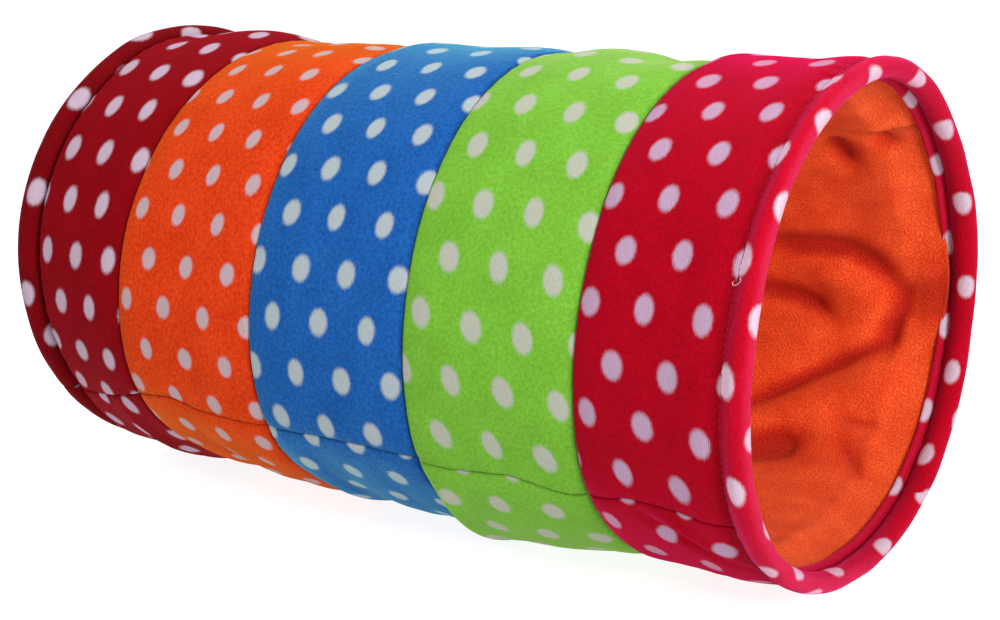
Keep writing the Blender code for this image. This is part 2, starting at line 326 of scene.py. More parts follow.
def tubes(name, paths, radius, sides=6):
    """Many short threads in one mesh, each along its own points, closed and rounded at its ends."""
    points, quads, tris = [], [], []
    base = 0
    for path in paths:
        p = np.asarray(path, float)
        along = np.gradient(p, axis=0)
        along /= np.linalg.norm(along, axis=1)[:, None]
        side = np.cross(along, np.array([0.31, 0.52, 0.79]))
        side /= np.linalg.norm(side, axis=1)[:, None]
        other = np.cross(along, side)
        n = len(p)
        share = np.ones(n)
        share[0] = share[-1] = 0.45
        if n > 4:
            share[1] = share[-2] = 0.88
        turn = np.arange(sides) * TAU / sides
        ring = (p[:, None] + radius * share[:, None, None]
                * (side[:, None] * np.cos(turn)[None, :, None] + other[:, None] * np.sin(turn)[None, :, None]))
        points.append(ring.reshape(-1, 3))
        points.append(np.stack([p[0] - along[0] * radius * 0.45, p[-1] + along[-1] * radius * 0.45]))
        for a in range(n - 1):
            for b in range(sides):
                c = (b + 1) % sides
                quads.append((base + a * sides + b, base + (a + 1) * sides + b,
                              base + (a + 1) * sides + c, base + a * sides + c))
        first, final = base + n * sides, base + n * sides + 1
        for b in range(sides):
            c = (b + 1) % sides
            tris.append((first, base + b, base + c))
            tris.append((final, base + (n - 1) * sides + c, base + (n - 1) * sides + b))
        base += n * sides + 2
    mesh = bpy.data.meshes.new(name)
    mesh.from_pydata(np.concatenate(points), [], quads + tris)
    mesh.polygons.foreach_set("use_smooth", np.ones(len(quads) + len(tris), bool))
    mesh.update()
    return link(bpy.data.objects.new(name, mesh))


# ------------------------------------------------------------------ materials

class Look:
    """A small helper that builds a node material."""

    def __init__(self, name):
        self.material = bpy.data.materials.new(name)
        self.material.use_nodes = True
        self.tree = self.material.node_tree
        self.tree.nodes.clear()

    def new(self, kind, **settings):
        node = self.tree.nodes.new(kind)
        for key, value in settings.items():
            setattr(node, key, value)
        return node

    def put(self, socket, value):
        if isinstance(value, bpy.types.NodeSocket):
            self.tree.links.new(value, socket)
        elif hasattr(socket.default_value, "__len__") and isinstance(value, (tuple, list)) and len(value) == 3 \
                and len(socket.default_value) == 4:
            socket.default_value = (*value, 1.0)
        else:
            socket.default_value = value

    def math(self, operation, a, b=None, c=None, clamp=False):
        node = self.new("ShaderNodeMath", operation=operation, use_clamp=clamp)
        for socket, value in zip(node.inputs, (a, b, c)):
            if value is not None:
                self.put(socket, value)
        return node.outputs[0]

    def add(self, a, b):
        return self.math("ADD", a, b)

    def times(self, a, b):
        return self.math("MULTIPLY", a, b)

    def uv(self, name):
        return self.new("ShaderNodeUVMap", uv_map=name).outputs[0]

    def scaled(self, vector, by):
        node = self.new("ShaderNodeVectorMath", operation="MULTIPLY")
        self.put(node.inputs[0], vector)
        self.put(node.inputs[1], by)
        return node.outputs[0]

    def split(self, vector):
        node = self.new("ShaderNodeSeparateXYZ")
        self.put(node.inputs[0], vector)
        return node.outputs

    def join(self, x, y, z=0.0):
        node = self.new("ShaderNodeCombineXYZ")
        for socket, value in zip(node.inputs, (x, y, z)):
            self.put(socket, value)
        return node.outputs[0]

    def noise(self, vector, scale, detail=2.0, rough=0.5, flat=True, twist=0.0):
        node = self.new("ShaderNodeTexNoise", noise_dimensions="2D" if flat else "3D")
        self.put(node.inputs["Vector"], vector)
        self.put(node.inputs["Scale"], scale)
        self.put(node.inputs["Detail"], detail)
        self.put(node.inputs["Roughness"], rough)
        self.put(node.inputs["Distortion"], twist)
        return node.outputs[0]

    def cells(self, vector, scale, flat=True, feature="F1", wild=1.0):
        node = self.new("ShaderNodeTexVoronoi", voronoi_dimensions="2D" if flat else "3D", feature=feature)
        self.put(node.inputs["Vector"], vector)
        self.put(node.inputs["Scale"], scale)
        self.put(node.inputs["Randomness"], wild)
        return node.outputs["Distance"]

    def ramp(self, value, low, high, a=0.0, b=1.0, soft=True):
        node = self.new("ShaderNodeMapRange", interpolation_type="SMOOTHSTEP" if soft else "LINEAR")
        for title, v in (("Value", value), ("From Min", low), ("From Max", high), ("To Min", a), ("To Max", b)):
            self.put(node.inputs[title], v)
        return node.outputs[0]

    def mix(self, share, a, b, way="MIX"):
        node = self.new("ShaderNodeMix", data_type="RGBA", blend_type=way)
        self.put(node.inputs[0], share)
        self.put(node.inputs[6], a)
        self.put(node.inputs[7], b)
        return node.outputs[2]

    def shade(self, colour, by):
        """colour times a number."""
        node = self.new("ShaderNodeVectorMath", operation="SCALE")
        self.put(node.inputs[0], colour)
        self.put(node.inputs["Scale"], by)
        return node.outputs[0]

    def bump(self, height, distance, strength=1.0, under=None):
        node = self.new("ShaderNodeBump")
        self.put(node.inputs["Strength"], strength)
        self.put(node.inputs["Distance"], distance)
        self.put(node.inputs["Height"], height)
        if under is not None:
            self.put(node.inputs["Normal"], under)
        return node.outputs[0]

    def finish(self, **inputs):
        shader = self.new("ShaderNodeBsdfPrincipled")
        for title, value in inputs.items():
            self.put(shader.inputs[title.replace("_", " ")], value)
        out = self.new("ShaderNodeOutputMaterial")
        self.tree.links.new(shader.outputs[0], out.inputs[0])
        return self.material


# Fleece: base colour, dot colour, sheen tint, how far each colour varies with the nap; the dots' half sizes and spacing in mm (along the tunnel, round it).
FLEECE = {
    "crimson": dict(base=(0.292, 0.0007, 0.0078), dot=(0.366, 0.242, 0.345), tint=(1.0, 0.010, 0.17), sheen=0.95,
                    vary=(0.02, 0.20, 0.14), semi=(5.55, 7.15), pitch=(16.37, 28.6)),
    "green": dict(base=(0.124, 0.322, 0.0265), dot=(0.325, 0.334, 0.275), tint=(0.90, 1.0, 0.50), sheen=0.35,
                  vary=(0.03, 0.02, 0.12), semi=(5.7, 8.1), pitch=(15.23, 32.4)),
    "blue": dict(base=(0.0082, 0.0700, 0.262), dot=(0.293, 0.333, 0.352), tint=(0.26, 0.90, 0.90), sheen=0.62,
                 vary=(0.28, 0.14, 0.06), semi=(5.3, 7.0), pitch=(15.20, 27.6)),
    "orange": dict(base=(0.478, 0.0320, 0.0050), dot=(0.366, 0.266, 0.290), tint=(1.0, 0.60, 0.02), sheen=0.35,
                   vary=(0.04, 0.26, 0.42), semi=(4.7, 6.3), pitch=(15.03, 27.0)),
    "dark_red": dict(base=(0.173, 0.0008, 0.0034), dot=(0.392, 0.300, 0.372), tint=(1.0, 0.04, 0.10), sheen=0.20,
                     vary=(0.04, 0.20, 0.20), semi=(5.6, 7.6), pitch=(15.15, 31.2)),
}

# Dots sit on a staggered grid, columns C and rows R with C + R even. Half sizes as above; s is the way round in mm.
LATTICE = {
    "dark_red": dict(s0=388.4, ds=31.16, k=-0.042, bs=-0.467, xr=-172, x0=-171.8, hp=15.15, mr=-0.986, bx=-0.589,
                     below=(514.0, -168.0, 31.0, 15.15)),
    "orange": dict(s0=332.5, ds=26.99, k=0.033, bs=-0.124, xr=-106, x0=-105.7, hp=15.03, mr=-1.916, bx=0.123,
                   below=(516.0, -119.0, 27.0, 15.0)),
    "blue": dict(s0=320.1, ds=27.64, k=0.038, bs=0.177, xr=3, x0=2.6, hp=15.20, mr=-0.948, bx=0.010,
                 below=(530.0, -2.0, 27.6, 15.2)),
    "green": dict(s0=328.5, ds=32.41, k=0.093, bs=-0.052, xr=99, x0=99.1, hp=15.23, mr=1.904, bx=0.337,
                  below=(534.0, 94.0, 29.0, 15.5)),
    "crimson": dict(s0=349.3, ds=28.63, k=0.039, bs=-0.048, xr=188, x0=188.3, hp=16.37, mr=0.460, bx=0.166,
                    below=(532.0, 160.0, 26.0, 16.4)),
}


def dots(band, x, t):
    """Column and row of the dot grid at (x, t), t from the lengthwise seam up and over. The front's rows and those
    under the seam were measured apart, and meet in a slight stretch at the back."""
    q = LATTICE[band]
    x, t = np.broadcast_arrays(np.asarray(x, float), np.asarray(t, float))
    above = (seam_at(x) + TAU - t) * 145.5
    x, s = x / MM, t * 145.5
    if band == "crimson":
        s = s - 3.2 * smooth(1 - above / 14)
    shift = s - q["s0"] - q["k"] * (x - q["xr"])
    edge = 6.5
    row = shift / q["ds"]
    for _ in range(12):
        kept = np.clip(row, -edge, edge)
        row = row - (q["ds"] * row + q["bs"] * kept ** 2 + 2 * q["bs"] * kept * (row - kept) - shift) / (
            q["ds"] + 2 * q["bs"] * kept)
    kept = np.clip(row, -edge, edge)
    over = row - kept
    slope = q["mr"] + 2 * q["bx"] * kept
    lean = q["mr"] * kept + q["bx"] * kept ** 2 + slope * 2.0 * np.sign(over) * (1 - np.exp(-np.abs(over) / 2.0))
    col = (x - q["x0"] - lean) / q["hp"]
    s2, x2, ds2, hp2 = q["below"]
    row2, col2 = (s + TAU * 145.5 - s2) / ds2, (x - x2) / hp2
    middle = float(q["s0"] + 70) / q["ds"]
    more = int(round(-middle - (-70 + TAU * 145.5 - s2) / ds2))
    side = float((x2 - q["x0"]) / q["hp"])
    step = int(round(side))
    if (more + step) % 2:
        step += 1 if side > step else -1
    share = smooth((s + 290) / 440)
    return col * share + (col2 + step) * (1 - share), row * share + (row2 + more) * (1 - share)


# The near hem is a strip of its own, joined low on the far side: the way round s in mm and the row there; and where
# column 3 lies across the strip and how far apart the columns are, in mm.
HEM_ROWS = np.array([(-172, -17.6), (-154, -17), (-126, -16), (-98, -15), (-72, -14), (-45, -13), (-18, -12), (7, -11),
                     (41, -10), (67, -9), (105, -8), (136, -7), (168, -6), (233, -4), (262, -3), (293, -2), (320, -1),
                     (348, 0), (378, 1), (404, 2), (435, 3), (485, 5), (520, 6.1), (548, 7), (572, 8), (636, 10),
                     (702, 12), (761, 14), (790, 15)])
HEM_COLUMNS = np.array([(-172, 17.0, 12.6), (-154, 16.7, 13.0), (-126, 14.8, 13.8), (-72, 12.8, 13.7), (-18, 11.2, 13.1),
                        (41, 10.3, 14.3), (105, 8.0, 16.1), (168, 4.0, 16.4), (233, 1.2, 19.6), (293, -0.1, 18.2),
                        (348, 0.1, 17.8), (404, 1.6, 16.4), (435, 2.6, 15.2), (485, 7.3, 15.0), (548, 8.5, 13.5),
                        (563, 7.8, 12.8), (636, 12.2, 14.0), (702, 7.5, 14.0), (790, 5.5, 14.0)])


def hem_dots(past, t):
    """Column and row on the near hem; past is 7 mm on top of the roll and 17 at its outermost."""
    past, t = np.broadcast_arrays(np.asarray(past, float), np.asarray(t, float))
    s = t * 145.5
    first, apart = (np.interp(s, HEM_COLUMNS[:, 0], HEM_COLUMNS[:, k]) for k in (1, 2))
    return 3 + (past - first) / apart, np.interp(s, HEM_ROWS[:, 0], HEM_ROWS[:, 1])


def fleece(band, look="", **changes):
    q = dict(FLEECE[band], **changes)
    g = Look(band + "_fleece" + look)
    cloth = g.uv("cloth")                     # metres along and round the tunnel
    fine = g.noise(g.scaled(cloth, (1900, 1500, 0)), 1.0, 2.0, 0.6)
    strands = g.noise(g.scaled(cloth, (2100, 300, 0)), 1.0, 1.0, 0.5)
    tufts = g.noise(g.scaled(cloth, (520, 420, 0)), 1.0, 3.0, 0.65)
    clouds = g.noise(g.scaled(cloth, (48, 36, 0)), 1.0, 2.0, 0.5)
    ribs = g.math("SINE", g.add(g.times(g.split(cloth)[0], TAU / 0.0011), g.times(tufts, 3.0)))

    c, r, _ = g.split(g.uv("dots"))
    a, b = g.times(g.add(c, r), 0.5), g.times(g.math("SUBTRACT", c, r), 0.5)
    na, nb = g.math("ROUND", a), g.math("ROUND", b)
    da, db = g.math("SUBTRACT", a, na), g.math("SUBTRACT", b, nb)
    hash_ = g.new("ShaderNodeTexWhiteNoise", noise_dimensions="2D")
    g.put(hash_.inputs["Vector"], g.join(na, nb))
    rx, ry, rz = g.split(hash_.outputs["Color"])
    ex = g.times(g.add(g.add(da, db), g.ramp(rx, 0, 1, -0.035, 0.035, False)), q["pitch"][0] / q["semi"][0])
    ey = g.times(g.add(g.math("SUBTRACT", da, db), g.ramp(ry, 0, 1, -0.025, 0.025, False)),
                 q["pitch"][1] / q["semi"][1])
    ex = g.times(ex, g.ramp(rz, 0, 1, 0.93, 1.09, False))
    far = g.math("SQRT", g.add(g.times(ex, ex), g.times(ey, ey)))
    far = g.add(far, g.ramp(strands, 0.2, 0.8, -0.075, 0.075, False))
    far = g.add(far, g.ramp(fine, 0.2, 0.8, -0.07, 0.07, False))
    dot = g.ramp(far, 0.76, 1.23, 1.0, 0.0)

    tone = g.times(g.ramp(clouds, 0.25, 0.75, 0.94, 1.06, False), g.ramp(tufts, 0.2, 0.8, 0.84, 1.16, False))
    tone = g.times(tone, g.ramp(fine, 0.2, 0.8, 0.86, 1.14, False))
    # painted shade: where the seam-and-groove map is above zero the cloth is darkened to as little as 0.55, shade
    # painted into seams, grooves and hollows
    tone = g.times(tone, g.ramp(g.split(g.uv("painted_shade_and_highlight"))[0], 0, 1, 1.0, 0.55, False))
    # painted highlight: a lighter, pinker colour that the same map blends in where it goes below zero, a painted sheen
    # on the hem roll's crest and on its facing
    painted_highlight_colour = tuple(v * k + a for v, k, a in zip(q["base"], (1.30, 1.0, 1.0), (0.03, 0.018, 0.055)))
    nap = g.ramp(g.add(g.times(tufts, 0.85), g.times(clouds, 0.15)), 0.32, 0.68, 0.0, 1.0)
    base = g.mix(nap, tuple(b * (1 - v) for b, v in zip(q["base"], q["vary"])),
                 tuple(b * (1 + v) for b, v in zip(q["base"], q["vary"])))
    plain = g.shade(g.mix(g.ramp(g.split(g.uv("painted_shade_and_highlight"))[0], -1, 0, 1.0, 0.0), base, painted_highlight_colour), tone)
    white = g.shade(q["dot"], g.times(g.ramp(ribs, -1, 1, 0.92, 1.06, False), g.ramp(fine, 0.2, 0.8, 0.90, 1.10, False)))
    colour = g.mix(dot, plain, white)

    height = g.add(g.times(fine, 0.55), g.add(g.times(tufts, 0.9), g.times(strands, 0.5)))
    height = g.add(height, g.times(g.times(ribs, 0.10), g.add(g.times(dot, 0.8), 0.35)))
    normal = g.bump(height, 0.00055, 0.75)
    rough = g.ramp(tufts, 0.2, 0.8, 0.78, 0.96, False)
    return g.finish(Base_Color=colour, Roughness=rough, Normal=normal, Specular_IOR_Level=0.03,
                    Sheen_Weight=q["sheen"], Sheen_Roughness=q.get("nap", 0.28), Sheen_Tint=(*q["tint"], 1.0))


def micro_fleece():
    """The lining: plain orange, its nap felted into small pills, with painted shade in its creases and under its seam
    and painted light along its length.
    """
    g = Look("lining_fleece")
    cloth = g.uv("cloth")
    pills = g.noise(g.scaled(cloth, (940, 800, 0)), 1.0, 2.0, 0.6)
    grain = g.noise(g.scaled(cloth, (2300, 2000, 0)), 1.0, 2.0, 0.6)
    clouds = g.noise(g.scaled(cloth, (60, 60, 0)), 1.0, 3.0, 0.55)
    fold, up, _ = g.split(g.uv("fold"))
    lump = g.add(g.ramp(pills, 0.32, 0.68, 0.0, 1.0), g.times(grain, 0.4))
    tone = g.times(g.ramp(lump, 0.1, 1.3, 0.93, 1.07, False), g.ramp(clouds, 0.25, 0.75, 0.95, 1.05, False))
    # painted shadow: a dark line along the lining's lapped seam, and below it the lining painted up to 20% darker over
    # 10 mm, as if shaded by the lap
    seam_shadow_line = g.math("ABSOLUTE", g.add(up, 0.5))
    tone = g.times(tone, g.ramp(seam_shadow_line, 0.3, 1.6, 0.50, 1.0))
    shade = g.times(g.math("LESS_THAN", up, 0.0), g.ramp(up, -10.0, -0.5, 0.0, 1.0))
    tone = g.times(tone, g.ramp(shade, 0.0, 1.0, 1.0, 0.80))
    # painted light: where the fold map is low (swells, near the mouth) the orange turns lighter and yellower, a painted
    # highlight, mixed with a random cloud tone
    warm = g.mix(g.ramp(g.add(g.times(clouds, 0.8), g.times(fold, -0.7)), 0.0, 0.9), (0.78, 0.058, 0.013), (0.88, 0.111, 0.026))
    # painted light: the lining is painted up to 12% lighter deep in the tunnel, where less light reaches, and 14%
    # darker in the last 2 cm by each mouth
    deep = g.math("ABSOLUTE", g.split(cloth)[0])
    tone = g.times(tone, g.times(g.ramp(deep, 0.120, 0.188, 1.12, 1.01), g.ramp(deep, 0.200, 0.222, 1.0, 0.86)))
    # painted shade: the creases, high in the fold map, are painted dark red-brown
    colour = g.mix(g.ramp(fold, 0.0, 0.9, 0.0, 0.92), warm, (0.47, 0.018, 0.009))
    colour = g.mix(1.0, colour, g.mix(g.ramp(lump, 0.15, 1.15), (0.96, 0.66, 0.52), (1.04, 1.34, 1.48)), "MULTIPLY")
    colour = g.shade(colour, tone)
    normal = g.bump(lump, 0.00065, 0.8)
    rough = g.ramp(grain, 0.2, 0.8, 0.80, 0.97, False)
    return g.finish(Base_Color=colour, Roughness=rough, Normal=normal, Specular_IOR_Level=0.03,
                    Sheen_Weight=0.25, Sheen_Roughness=0.35, Sheen_Tint=(1.0, 0.50, 0.22, 1.0))


def wadding_look():
    g = Look("wadding")
    place = g.new("ShaderNodeTexCoord").outputs["Object"]
    long_ = g.noise(g.scaled(place, (260, 900, 900)), 1.0, 4.0, 0.6, flat=False, twist=1.2)
    cross = g.noise(g.scaled(place, (1100, 320, 320)), 1.0, 4.0, 0.6, flat=False, twist=1.0)
    clump = g.noise(g.scaled(place, (90, 90, 90)), 1.0, 2.0, 0.5, flat=False)
    fibre = g.math("MAXIMUM", long_, cross)
    colour = g.mix(g.ramp(fibre, 0.45, 0.75), (0.62, 0.61, 0.58), (0.88, 0.88, 0.86))
    colour = g.shade(colour, g.ramp(clump, 0.25, 0.75, 0.92, 1.05, False))
    normal = g.bump(fibre, 0.0008, 0.9)
    return g.finish(Base_Color=colour, Roughness=g.ramp(fibre, 0.3, 0.8, 0.75, 0.95, False), Normal=normal,
                    Specular_IOR_Level=0.25, Sheen_Weight=0.25, Sheen_Roughness=0.5, Sheen_Tint=(1.0, 1.0, 1.0, 1.0))


def film_look():
    g = Look("crackle_film")
    place = g.new("ShaderNodeTexCoord").outputs["Object"]
    folds = g.cells(g.scaled(place, (110, 110, 110)), 1.0, flat=False, feature="DISTANCE_TO_EDGE")
    haze = g.noise(g.scaled(place, (160, 160, 160)), 1.0, 3.0, 0.5, flat=False)
    crease = g.ramp(folds, 0.0, 0.06, 1.0, 0.0)
    colour = g.mix(g.times(crease, 0.7), (0.66, 0.69, 0.72), (0.92, 0.93, 0.95))
    rough = g.add(g.ramp(haze, 0.2, 0.8, 0.16, 0.34, False), g.times(crease, 0.25))
    normal = g.bump(g.add(g.times(crease, 0.8), g.times(haze, 0.5)), 0.0005, 0.8)
    return g.finish(Base_Color=colour, Roughness=rough, Normal=normal, IOR=1.49, Specular_IOR_Level=0.55)


def thread_look(name, colour):
    g = Look(name)
    place = g.new("ShaderNodeTexCoord").outputs["Object"]
    twist = g.noise(g.scaled(place, (5200, 5200, 5200)), 1.0, 2.0, 0.6, flat=False)
    shade = g.noise(g.scaled(place, (300, 300, 300)), 1.0, 2.0, 0.5, flat=False)
    body = g.shade(colour, g.times(g.ramp(twist, 0.25, 0.75, 0.75, 1.2, False), g.ramp(shade, 0.3, 0.7, 0.9, 1.1, False)))
    return g.finish(Base_Color=body, Roughness=g.ramp(twist, 0.2, 0.8, 0.55, 0.8, False),
                    Normal=g.bump(twist, 0.0001, 0.6), Specular_IOR_Level=0.35, Sheen_Weight=0.1,
                    Sheen_Roughness=0.4, Sheen_Tint=(1.0, 1.0, 1.0, 1.0))


def wire_look():
    g = Look("spring_steel")
    place = g.new("ShaderNodeTexCoord").outputs["Object"]
    x, y, z = g.split(place)
    streak = g.noise(g.join(g.times(x, 5000), g.times(g.math("ARCTAN2", z, y), 6.0)), 1.0, 3.0, 0.6)
    oil = g.noise(g.scaled(place, (60, 60, 60)), 1.0, 2.0, 0.5, flat=False)
    colour = g.mix(g.ramp(streak, 0.3, 0.7), (0.30, 0.30, 0.31), (0.52, 0.52, 0.53))
    colour = g.mix(g.ramp(oil, 0.45, 0.75, 0.0, 0.5), colour, (0.22, 0.20, 0.19))
    return g.finish(Base_Color=colour, Metallic=1.0, Roughness=g.ramp(streak, 0.2, 0.8, 0.24, 0.42, False),
                    Normal=g.bump(streak, 0.00008, 0.7))


def sleeve_look():
    g = Look("crimped_sleeve")
    place = g.new("ShaderNodeTexCoord").outputs["Object"]
    dull = g.noise(g.scaled(place, (420, 420, 420)), 1.0, 3.0, 0.6, flat=False)
    scratch = g.noise(g.scaled(place, (3800, 240, 3800)), 1.0, 2.0, 0.6, flat=False)
    colour = g.mix(g.ramp(dull, 0.3, 0.7), (0.50, 0.50, 0.52), (0.68, 0.68, 0.70))
    return g.finish(Base_Color=colour, Metallic=1.0,
                    Roughness=g.add(g.ramp(dull, 0.2, 0.8, 0.26, 0.40, False), g.ramp(scratch, 0.5, 0.8, 0.0, 0.15, False)),
                    Normal=g.bump(g.add(dull, scratch), 0.00012, 0.7))


LOOKS = {band: fleece(band) for band in FLEECE}
# Lit and shaded copies of two fleeces for the hem rolls: the crimson roll's base and dots are painted lighter, a
# painted highlight, and the dark red roll's base darker, painted shade.
ROLL_LOOKS_PAINTED_LIGHT = {"dark_red": fleece("dark_red", "_hem_painted_light", base=(0.128, 0.0010, 0.0030), semi=(5.8, 7.9)),
              "crimson": fleece("crimson", "_hem_painted_light", base=(0.362, 0.0012, 0.0108), dot=(0.52, 0.40, 0.49), sheen=0.6,
                                semi=(5.9, 7.6),
                                nap=0.42, tint=(1.0, 0.06, 0.28))}
LINING_LOOK, WADDING_LOOK, FILM_LOOK = micro_fleece(), wadding_look(), film_look()
WIRE_LOOK, SLEEVE_LOOK = wire_look(), sleeve_look()
THREAD_RED = thread_look("thread_crimson", (0.30, 0.006, 0.022))
THREAD_DARK = thread_look("thread_dark_red", (0.09, 0.003, 0.006))
THREAD_PALE = thread_look("thread_pale", (0.78, 0.74, 0.74))


def dressed(obj, material):
    obj.data.materials.clear()
    obj.data.materials.append(material)
    return obj


# ------------------------------------------------------------------ cover

ROUND = 700                       # points round the tube
CLOTH = 2.0 * MM
STITCH = X_ROLL - 5.6 * MM        # the near hem's stitch line
EDGE_STEPS = np.array([0, 0.1, 0.4, 0.9, 1.6, 2.4, 3.3]) * MM


def rows(a, b, step=1.9 * MM):
    """Places from a to b, closer together at both ends."""
    first, final = a + EDGE_STEPS, b - EDGE_STEPS[::-1]
    count = int(round((final[0] - first[-1]) / step))
    return np.concatenate([first, np.linspace(first[-1], final[0], count + 1)[1:-1], final])


def tucked(e, wide, deep):
    """How far an edge curls in, at distance e from it."""
    k = np.clip(1 - e / wide, 0, 1)
    return deep * (1 - np.sqrt(np.clip(1 - k * k, 0, 1)))


def strip(start):
    """t of every point of a strip round the tube that begins at t = start, and its distance from the cut there."""
    length = TAU * 0.1455
    s = rows(0.0, length, (length - 2 * EDGE_STEPS[-1]) / (ROUND - 2 * len(EDGE_STEPS) + 1))
    off = 0.03 * MM
    t = start[:, None] + (off + s * (1 - 2 * off / length))[None] / 0.1455
    return t, np.minimum(s, length - s)[None]


# How much of the painted shade by the near hem's groove falls on each side: all of it on the front, little on the far
# side.
def front(t):
    return np.clip(0.22 - 0.85 * np.cos(t), 0.12, 1)


def puckers(x, t, at, seed, slow, fast, reach, high):
    """Little gathers beside a seam."""
    return high * MM * waves(x, t, seed, slow, fast, 0.05, 14) * np.exp(-((x - at) / (reach * MM)) ** 2)


def band_piece(name, band, low, high):
    """A fleece band, its edges curled in to the ring seams, or pulled down by the hem's stitches."""
    x = rows(low, high)
    t, cut = strip(seam_at(x))
    xx = x[:, None] + 0 * t
    deep = np.zeros_like(t)
    for at, e, hem in ((low, xx - low, low < -0.2), (high, high - xx, high > 0.2)):
        if hem and at > 0:
            full = 1.45 * MM - pinch(t)
            deep += tucked(e, 4.0 * MM, 1.0) * 0.3 * full + 0.7 * full * smooth(1 - e / (13 * MM)) ** 1.3
            deep += puckers(xx, t, at, 31, 50, 92, 7, 0.16)
        elif hem:
            deep += tucked(e, 3.2 * MM, 1.5 * MM) + 1.9 * MM * np.clip(1 - e / (9 * MM), 0, 1) ** 2
            deep += puckers(xx, t, at, 32, 50, 92, 8, 0.30)
        else:
            deep += tucked(e, 1.9 * MM, 1.7 * MM) + 0.25 * MM * np.exp(-(e / (5 * MM)) ** 2)
            deep += puckers(xx, t, at, int(2000 + at * 1000), 40, 84, 6, 0.10)
    deep += tucked(cut, 1.5 * MM, 1.4 * MM) + 0.30 * MM * np.exp(-(cut / (4 * MM)) ** 2)
    deep += 0.16 * MM * np.cos(xx * TAU / 0.0115 + 2.2 * np.sin(xx * 95)) * np.exp(-(cut / (7 * MM)) ** 2)
    outer = layer(xx, t, deep)
    inner = layer(xx, t, np.maximum(CLOTH, deep + 0.45 * MM))
    # painted shade: the map is darkest along the lengthwise seam, at the ring seams and over the hem's groove on the
    # front, where shade falls in those hollows
    painted_shade_and_highlight = np.maximum(0.6 * np.exp(-(cut / (1.3 * MM)) ** 2), 0.7 * np.exp(-((xx - low) / (1.7 * MM)) ** 2))
    painted_shade_and_highlight = np.maximum(painted_shade_and_highlight, 0.75 * np.exp(-((high - xx) / (4.8 * MM)) ** 2) * front(t) if high > 0.2
                       else 0.7 * np.exp(-((high - xx) / (1.7 * MM)) ** 2))
    maps = {"cloth": pair(xx, t * 0.1455), "dots": pair(*dots(band, xx, t)), "painted_shade_and_highlight": pair(painted_shade_and_highlight, 0.0)}
    return dressed(shell(name, outer, inner, maps), LOOKS[band])


def roll_profile(side):
    """The hem's cloth as (x, r) in mm from the hoop's centre: out of the groove, round the hoop, and the facing."""
    if side < 0:
        phi = np.radians(np.linspace(196, -158, 36))
        outer = np.stack([8.5 * np.cos(phi), 7.0 * np.sin(phi)], 1)
        inner = np.stack([6.6 * np.cos(phi), 5.1 * np.sin(phi)], 1)
        outer = np.concatenate([outer, [(-8.65, -3.1), (-9.3, -4.3), (-10.6, -5.4), (-12.2, -5.9), (-14.0, -6.1),
                                        (-15.7, -6.25), (-16.5, -6.1), (-16.9, -5.6)]])
        inner = np.concatenate([inner, [(-8.6, -2.45), (-9.2, -3.0), (-10.4, -3.8), (-12.1, -4.2), (-14.0, -4.35),
                                        (-15.7, -4.5), (-16.3, -4.6), (-16.7, -4.95)]])
        return outer * MM, inner * MM
    phi = np.radians(np.linspace(166, -150, 34))
    outer = np.stack([1.4 + 7.1 * np.cos(phi), 5.9 * np.sin(phi)], 1)
    inner = np.stack([1.4 + 5.2 * np.cos(phi), 4.0 * np.sin(phi)], 1)
    outer[:8] = ((-5.1, 2.95), (-4.55, 3.15), (-3.9, 3.5), (-3.2, 3.95), (-2.4, 4.42), (-1.5, 4.95), (-0.5, 5.4), (0.5, 5.75))
    inner[:8] = ((-3.9, 1.5), (-3.45, 1.8), (-2.95, 2.1), (-2.4, 2.45), (-1.75, 2.87), (-1.0, 3.3), (-0.2, 3.65), (0.6, 3.9))
    outer = np.concatenate([[(-5.66, 2.72), (-5.42, 2.80)], outer,
                            [(-4.95, -2.2), (-5.25, -1.6), (-5.7, -1.9), (-6.3, -3.2), (-7.0, -4.6), (-7.9, -5.6),
                             (-8.9, -6.1), (-9.8, -6.2), (-10.4, -5.9), (-10.7, -5.3)]])
    inner = np.concatenate([[(-5.2, 1.2), (-4.7, 1.3)], inner,
                            [(-3.9, -0.9), (-4.7, 0.0), (-5.6, -0.1), (-6.8, -1.5), (-7.6, -2.9), (-8.3, -3.8),
                             (-9.0, -4.2), (-9.7, -4.4), (-10.2, -4.5), (-10.5, -4.9)]])
    return outer * MM, inner * MM


def merged(t):
    """Low in the near mouth the roll runs straight into its facing, without a groove between them."""
    return smooth((-1.66 - t) / 0.22) * smooth((t + 2.75) / 0.3)


